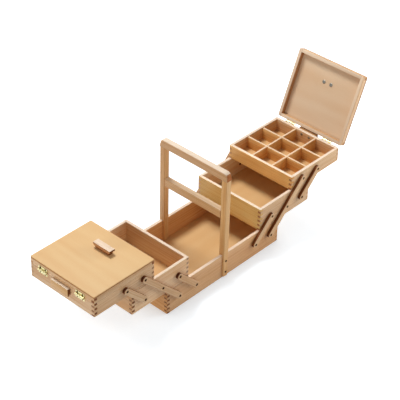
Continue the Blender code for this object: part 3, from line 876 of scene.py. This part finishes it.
class SEWINGBOX_OT_finish_pulls(bpy.types.Operator):
    """Makes the bar pulls on the lids and the tray ends, with their beech finish"""

    bl_idname = "sewing_box.finish_pulls"
    bl_label = "Finish the pulls"

    def execute(self, context):
        wood = context.scene.sewing_box_wood
        end = toned(wood.end, 0.45)
        for side in SIDES:
            self.add_lid_grip(side, wood, end)
            self.add_end_grip(side, wood, end)
        return {"FINISHED"}

    def add_lid_grip(self, side, wood, end):
        """A thick lip on a narrower foot, on top of a lid."""
        lid_pull = f"{side}_lid_pull"
        place = lid_place(side)
        lid_up = place.to_3x3() @ Z_AXIS
        # Painted shade: the lip's sides are a tan mixed with the painted shade brown and the foot a deeper
        # painted shade; the top's pale colour is partly a painted highlight
        tan = blended(wood.face, wood.pull_side, 0.55)
        pale = blended(wood.face, wood.rim, 0.7)
        finishes = [
            beech(lid_pull, Y_AXIS, tan, pale, end, lid_up),
            beech(f"{lid_pull}_foot", Y_AXIS, toned(wood.pull_side, 0.8), end=end, up=-lid_up),
        ]
        bm = bmesh.new()
        low, high = shut_box(side, "lid_pull")
        lip = lip_outline(low.y, high.y, low.z + PULL_FOOT + GLUE_LINE, high.z)
        add_board(bm, lip, "X", low.x, high.x, finish=0, ease=PULL_EASE)
        foot = box_outline(low.y + LIP_TAPER, high.y - LIP_TAPER, low.z, low.z + PULL_FOOT)
        add_board(bm, foot, "X", low.x + FOOT_INSET, high.x - FOOT_INSET, finish=1)
        bmesh.ops.transform(bm, matrix=place, verts=bm.verts)
        piece = add_piece(f"{side}_lid_grip", bm, finishes, f"{side}_lid")
        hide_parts(lid_pull)

    def add_end_grip(self, side, wood, end):
        """A bar with a flat top and a hollow below, on the outer end of a top tray."""
        end_pull = f"{side}_end_pull"
        golden = toned(blended(wood.face, wood.golden_face, 0.5), 0.9)
        # The left pull's top gets the pale rim colour, partly a painted highlight; the right pull's top gets
        # a dark painted shade for the open lid above it
        top = wood.rim if side == "left" else toned(wood.pull_side, 0.5)
        finish = beech(end_pull, Y_AXIS, golden, top, end)
        bm = bmesh.new()
        low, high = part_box(end_pull)
        wall, outer = (high.x, low.x) if side == "left" else (low.x, high.x)
        outline = grip_outline(wall, outer, low.z, high.z)
        add_board(bm, outline, "Y", low.y, high.y, ease=PULL_EASE)
        piece = add_piece(f"{side}_end_grip", bm, [finish], f"{side}_top_tray")
        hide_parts(end_pull)


class SEWINGBOX_OT_finish_hinges(bpy.types.Operator):
    """Gives the hinge leaves their brass finish"""

    bl_idname = "sewing_box.finish_hinges"
    bl_label = "Finish the hinges"

    def execute(self, context):
        brass = metal("brass_leaves", context.scene.sewing_box_fittings.brass, 0.2, 0.85)
        for name in NODES:
            if name.endswith("_leaf"):
                dress(name, brass)
        return {"FINISHED"}


class SEWINGBOX_OT_add_lid_boards(bpy.types.Operator):
    """Makes each lid's frame from four finger-jointed boards"""

    bl_idname = "sewing_box.add_lid_boards"
    bl_label = "Add the lid boards"

    def execute(self, context):
        for side in SIDES:
            bm = self.boards(side)
            finishes = self.finishes(side, context.scene.sewing_box_wood)
            piece = add_piece(f"{side}_lid_boards", bm, finishes, f"{side}_lid")
            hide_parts(f"{side}_lid_frame")
        return {"FINISHED"}

    def boards(self, side):
        """The front board, the back board and two ends of a lid, in place."""
        low, high = shut_box(side, "lid_frame")
        middle = (low + high) / 2
        half_x, half_y = (high.x - low.x) / 2, (high.y - low.y) / 2
        reach = WALL + GLUE_LINE
        walls = stepped_outline(reach - half_x, half_x - reach, low.z, high.z, reach, 0)
        ends = stepped_outline(reach - half_y, half_y - reach, low.z, high.z, 0, reach)
        bm = bmesh.new()
        for finish, sign in enumerate((-1, 1)):
            across = sorted((sign * half_y, sign * (half_y - WALL)))
            add_board(bm, walls, "Y", *across, finish=finish, corner=CORNER)
            across = sorted((sign * half_x, sign * (half_x - WALL)))
            add_board(bm, ends, "X", *across, finish=2, corner=CORNER)
        centred = lid_place(side) @ Matrix.Translation((middle.x, middle.y, 0))
        bmesh.ops.transform(bm, matrix=centred, verts=bm.verts)
        return bm

    def finishes(self, side, wood):
        """The finishes of the front board, the back board and the ends. On the open lid the back board is
        darker behind: painted shade.
        """
        turn = lid_place(side).to_3x3()
        up = turn @ -Z_AXIS
        face = back = board_face("lid")
        rim = blended(face, wood.rim, 0.15)
        end = toned(wood.end, 0.55)
        pale_end = blended(face, wood.end, 0.4)
        # Painted light on the open right lid: its back board is darkened with the painted shade brown, and
        # its rims are painted paler and greyer than the shut lid's
        if side == "right":
            rim = toned(blended(face, wood.rim, 0.6), 0.84)
            back = blended(face, wood.pull_side, 0.5)
            end = pale_end
        return [
            beech(f"{side}_lid_front", turn @ X_AXIS, face, rim, end, up),
            beech(f"{side}_lid_back", turn @ X_AXIS, back, rim, pale_end, up),
            beech(f"{side}_lid_ends", Y_AXIS, face, rim, end, up),
        ]


class SEWINGBOX_OT_add_dividers(bpy.types.Operator):
    """Makes the dividers of the top trays from strips that are halved into each other"""

    bl_idname = "sewing_box.add_dividers"
    bl_label = "Add the dividers"

    def execute(self, context):
        wood = context.scene.sewing_box_wood
        face = blended(wood.face, wood.golden_face, 0.7)
        # The strips' tops get the pale rim colour, partly a painted highlight
        rim = blended(face, wood.rim, 0.7)
        half, notch = DIVIDER_THICK / 2, DIVIDER_THICK + GLUE_LINE
        for side in SIDES:
            low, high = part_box(f"{side}_divider_grid")
            x_lines, y_lines = self.lines(low.x, high.x), self.lines(low.y, high.y)
            bm = bmesh.new()
            long_strip = notched_outline(low.y, high.y, low.z, high.z, y_lines, notch, False)
            for line in x_lines:
                add_board(bm, long_strip, "X", line - half, line + half, 0)
            cross_strip = notched_outline(low.x, high.x, low.z, high.z, x_lines, notch, True)
            for line in y_lines:
                add_board(bm, cross_strip, "Y", line - half, line + half, 1)
            finishes = [
                beech(f"{side}_long_strips", Y_AXIS, face, rim),
                beech(f"{side}_cross_strips", X_AXIS, face, rim),
            ]
            piece = add_piece(f"{side}_divider_strips", bm, finishes, f"{side}_top_tray")
            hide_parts(f"{side}_divider_grid")
        return {"FINISHED"}

    def lines(self, low, high):
        """The middles of two strips that part a tray's width into three equal cells."""
        inside = high - low + 2 * GLUE_LINE
        step = (inside - 2 * DIVIDER_THICK) / 3 + DIVIDER_THICK
        centre = (high + low) / 2
        return [centre - step / 2, centre + step / 2]


class SEWINGBOX_OT_add_pivot_screws(bpy.types.Operator):
    """Puts a screw in every arm pivot, and a sleeve nut behind it inside the middle trays"""

    bl_idname = "sewing_box.add_pivot_screws"
    bl_label = "Add the pivot screws"

    def execute(self, context):
        bronze = metal("bronze_screws", context.scene.sewing_box_fittings.bronze, 0.6)
        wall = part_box("base_front_wall")[1].y
        nut_seats = {}
        for side in SIDES:
            middle, top = f"{side}_middle_tray", f"{side}_top_tray"
            carriers = {"long": ["base", middle, top], "inner": ["base", middle], "outer": [middle, top]}
            for kind, bodies in carriers.items():
                seats = []
                for face, sign in FACES.items():
                    pivots, outward = arm_pivots(f"{side}_{face}_{kind}_arm")
                    seats += [(pivot - outward * PIVOT_RECESS_DEPTH, outward) for pivot in pivots]
                    pivot = pivots[bodies.index(middle)]
                    inside = Vector((pivot.x, -sign * wall, pivot.z))
                    nut_seats.setdefault(middle, []).append((inside, -outward))
                name, body = f"{side}_{kind}_pivot_screws", f"{side}_{kind}_arms"
                add_screws(name, body, seats, "pivot_head", bronze)
        for body, seats in nut_seats.items():
            add_screws(f"{body}_pivot_nuts", body, seats, "nut_head", bronze)
        return {"FINISHED"}


class SEWINGBOX_OT_add_fixing_screws(bpy.types.Operator):
    """Puts the screws in the posts, the hinges and the pulls"""

    bl_idname = "sewing_box.add_fixing_screws"
    bl_label = "Add the fixing screws"

    def execute(self, context):
        fittings = context.scene.sewing_box_fittings
        bronze = metal("bronze_small_screws", fittings.bronze, 0.35)
        seats = []
        for face, sign in FACES.items():
            low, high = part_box(f"handle_{face}_post")
            outer = low.y if sign < 0 else high.y
            seats += [(Vector((0, outer, height)), Vector((0, sign, 0))) for height in POST_SCREW_HEIGHTS]
        add_screws("post_screws", "base", seats, "post_head", bronze)
        steel = metal("steel_screws", fittings.steel, 0.18)
        olive = metal("olive_screws", fittings.olive, 0.35)
        for side, sign in SIDES.items():
            self.add_hinge_screws(side, sign, olive)
            self.add_pull_screws(side, sign, steel)
        return {"FINISHED"}

    def add_hinge_screws(self, side, sign, olive):
        """Two screws in each leaf of a side's hinges."""
        place = lid_place(side)
        pin = Vector(JOINTS[f"{side}_lid_hinge"]["pos_m"])
        face_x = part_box(f"{side}_top_outer_end")[0 if sign < 0 else 1].x + sign * LEAF_OUT
        outward = Vector((sign, 0, 0))
        tray_seats, lid_seats = [], []
        for face in FACES:
            low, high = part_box(f"{side}_{face}_hinge_tray_leaf")
            middle, spread = (low.y + high.y) / 2, (high.y - low.y) * LEAF_SCREW_SPREAD
            for along in (middle - spread, middle + spread):
                tray_seats.append((Vector((face_x, along, pin.z - LEAF_SCREW_FROM_PIN)), outward))
                lid_seat = Vector((face_x, along, pin.z + LEAF_SCREW_FROM_PIN))
                lid_seats.append((place @ lid_seat, place.to_3x3() @ outward))
        add_screws(f"{side}_tray_hinge_screws", f"{side}_top_tray", tray_seats, "hinge_head", olive)
        add_screws(f"{side}_lid_hinge_screws", f"{side}_lid", lid_seats, "hinge_head", olive)

    def add_pull_screws(self, side, sign, steel):
        """Two screws for each pull, whose heads show inside the lid and inside the tray's end."""
        place = lid_place(side)
        low, high = shut_box(side, "lid_pull")
        base = shut_box(side, "lid_panel")[0].z
        spots = [Vector(((low.x + high.x) / 2, along, base)) for along in LID_PULL_SCREWS]
        lid_seats = [(place @ spot, place.to_3x3() @ -Z_AXIS) for spot in spots]
        add_screws(f"{side}_lid_pull_screws", f"{side}_lid", lid_seats, "lid_pull_head", steel)
        low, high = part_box(f"{side}_end_pull")
        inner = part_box(f"{side}_top_outer_end")[1 if sign < 0 else 0].x
        inward = Vector((-sign, 0, 0))
        tray_seats = [(Vector((inner, along, (low.z + high.z) / 2)), inward) for along in END_PULL_SCREWS]
        add_screws(f"{side}_end_pull_screws", f"{side}_top_tray", tray_seats, "end_pull_head", steel)


class SEWINGBOX_OT_set_stage(bpy.types.Operator):
    """Makes the floor, the light and the camera"""

    bl_idname = "sewing_box.set_stage"
    bl_label = "Set the stage"

    def execute(self, context):
        stage = context.scene.sewing_box_stage
        self.add_floor(stage)
        self.add_light(context, stage)
        self.add_camera(context)
        context.scene.view_settings.view_transform = "Standard"
        return {"FINISHED"}

    def seen(self, tree):
        """1 where the camera, or a mirror or glass, looks, and 0 for light that falls on the object."""
        path = node(tree, "ShaderNodeLightPath").outputs
        found = maths("MAXIMUM", path["Is Camera Ray"], path["Is Glossy Ray"])
        return maths("MAXIMUM", found, path["Is Transmission Ray"])

    def add_floor(self, stage):
        """A wide pale floor that looks white and keeps the shadow."""
        mesh = bpy.data.meshes.new("studio_floor")
        corners = [(x * FLOOR_REACH, y * FLOOR_REACH, 0) for x, y in ((-1, -1), (1, -1), (1, 1), (-1, 1))]
        mesh.from_pydata(corners, [], [(0, 1, 2, 3)])
        floor = add_object("studio_floor", mesh)
        finish, tree, shader = new_finish("floor_paint")
        mesh.materials.append(finish)
        seen = self.seen(tree)
        plug(mixed(seen, stage.floor, stage.floor_seen), shader["Base Color"])
        plug(1.0, shader["Roughness"])
        plug(0.0, shader["Specular IOR Level"])

        # Light of its own, less of it round the base and least close under the object
        near = node(tree, "ShaderNodeAmbientOcclusion", {"samples": 16}, Distance=FLOOR_NOOK)
        open_floor = remapped(near.outputs["AO"], 0.4, 1.0, 0.67, 1.0)
        spot = vector_maths("ABSOLUTE", node(tree, "ShaderNodeTexCoord").outputs["Object"])
        base_reach = (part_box("base_right_end")[1].x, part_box("base_back_wall")[1].y, 0)
        outside = vector_maths("MAXIMUM", vector_maths("SUBTRACT", spot, base_reach), (0, 0, 0))
        distance = maths("SQRT", dot(outside, outside))
        lift = remapped(distance, *SHADOW_REACH, stage.lift, 1.0)
        lift = maths("MULTIPLY", maths("MULTIPLY", seen, lift), open_floor)
        plug(WHITE, shader["Emission Color"])
        plug(lift, shader["Emission Strength"])

    def add_light(self, context, stage):
        """An even white surrounding, a soft lamp overhead and two weak ones at the front and the left."""
        world = bpy.data.worlds.new("studio")
        world.use_nodes = True
        context.scene.world = world
        tree = world.node_tree
        even = tree.nodes["Background"]
        plug(WHITE, even.inputs["Color"])
        plug(summed(stage.sky, (self.seen(tree), 1.0 - stage.sky)), even.inputs["Strength"])
        for name, power, width, place in LAMPS:
            lamp = bpy.data.lights.new(name, "AREA")
            lamp.shape = "DISK"
            lamp.energy = getattr(stage, power)
            lamp.size = getattr(stage, width)
            made = add_object(name, lamp)
            made.location = place
            made.rotation_euler = Vector(place).to_track_quat("Z", "Y").to_euler()
            made.visible_camera = False
            made.visible_glossy = name == "key_light"

    def add_camera(self, context):
        """A long lens from the front left and above."""
        lens = bpy.data.cameras.new("camera")
        lens.lens = 123.11
        lens.sensor_width = 36
        camera = add_object("camera", lens)
        right = Vector((0.68133, -0.73163, 0.02263))
        up = Vector((0.41978, 0.41587, 0.80675))
        camera.rotation_euler = Matrix((right, up, right.cross(up))).transposed().to_euler()
        camera.location = (-2.0688, -1.8831, 2.2326)
        context.scene.camera = camera


OPERATORS = (
    SEWINGBOX_OT_set_stage,
    SEWINGBOX_OT_finish_boards,
    SEWINGBOX_OT_finish_handle,
    SEWINGBOX_OT_finish_arms,
    SEWINGBOX_OT_finish_panels,
    SEWINGBOX_OT_finish_pulls,
    SEWINGBOX_OT_finish_hinges,
    SEWINGBOX_OT_add_lid_boards,
    SEWINGBOX_OT_add_dividers,
    SEWINGBOX_OT_add_pivot_screws,
    SEWINGBOX_OT_add_fixing_screws,
)
SETTINGS = {
    "sewing_box_wood": WoodSettings,
    "sewing_box_fittings": FittingSettings,
    "sewing_box_stage": StageSettings,
}


class SEWINGBOX_PT_sidebar(bpy.types.Panel):
    """Lists the steps that finish the sewing box"""

    bl_label = "Sewing box"
    bl_idname = "SEWINGBOX_PT_sidebar"
    bl_space_type = "VIEW_3D"
    bl_region_type = "UI"
    bl_category = "Sewing box"

    def draw(self, context):
        for operator in OPERATORS:
            self.layout.operator(operator.bl_idname)
        for key, settings in SETTINGS.items():
            for name in settings.__annotations__:
                self.layout.prop(getattr(context.scene, key), name)


def register():
    for settings in SETTINGS.values():
        bpy.utils.register_class(settings)
    for key, settings in SETTINGS.items():
        setattr(bpy.types.Scene, key, bpy.props.PointerProperty(type=settings))
    for panel_or_operator in (*OPERATORS, SEWINGBOX_PT_sidebar):
        bpy.utils.register_class(panel_or_operator)


def unregister():
    for panel_or_operator in (SEWINGBOX_PT_sidebar, *OPERATORS):
        bpy.utils.unregister_class(panel_or_operator)
    for key, settings in SETTINGS.items():
        delattr(bpy.types.Scene, key)
        bpy.utils.unregister_class(settings)


def main():
    for spare in list(bpy.data.objects):
        if spare.type in {"CAMERA", "LIGHT"} or spare.name == "Cube":
            bpy.data.objects.remove(spare)
    register()
    for operator in OPERATORS:
        group, step = operator.bl_idname.split(".")
        getattr(getattr(bpy.ops, group), step)()


if __name__ == "__main__":
    main()
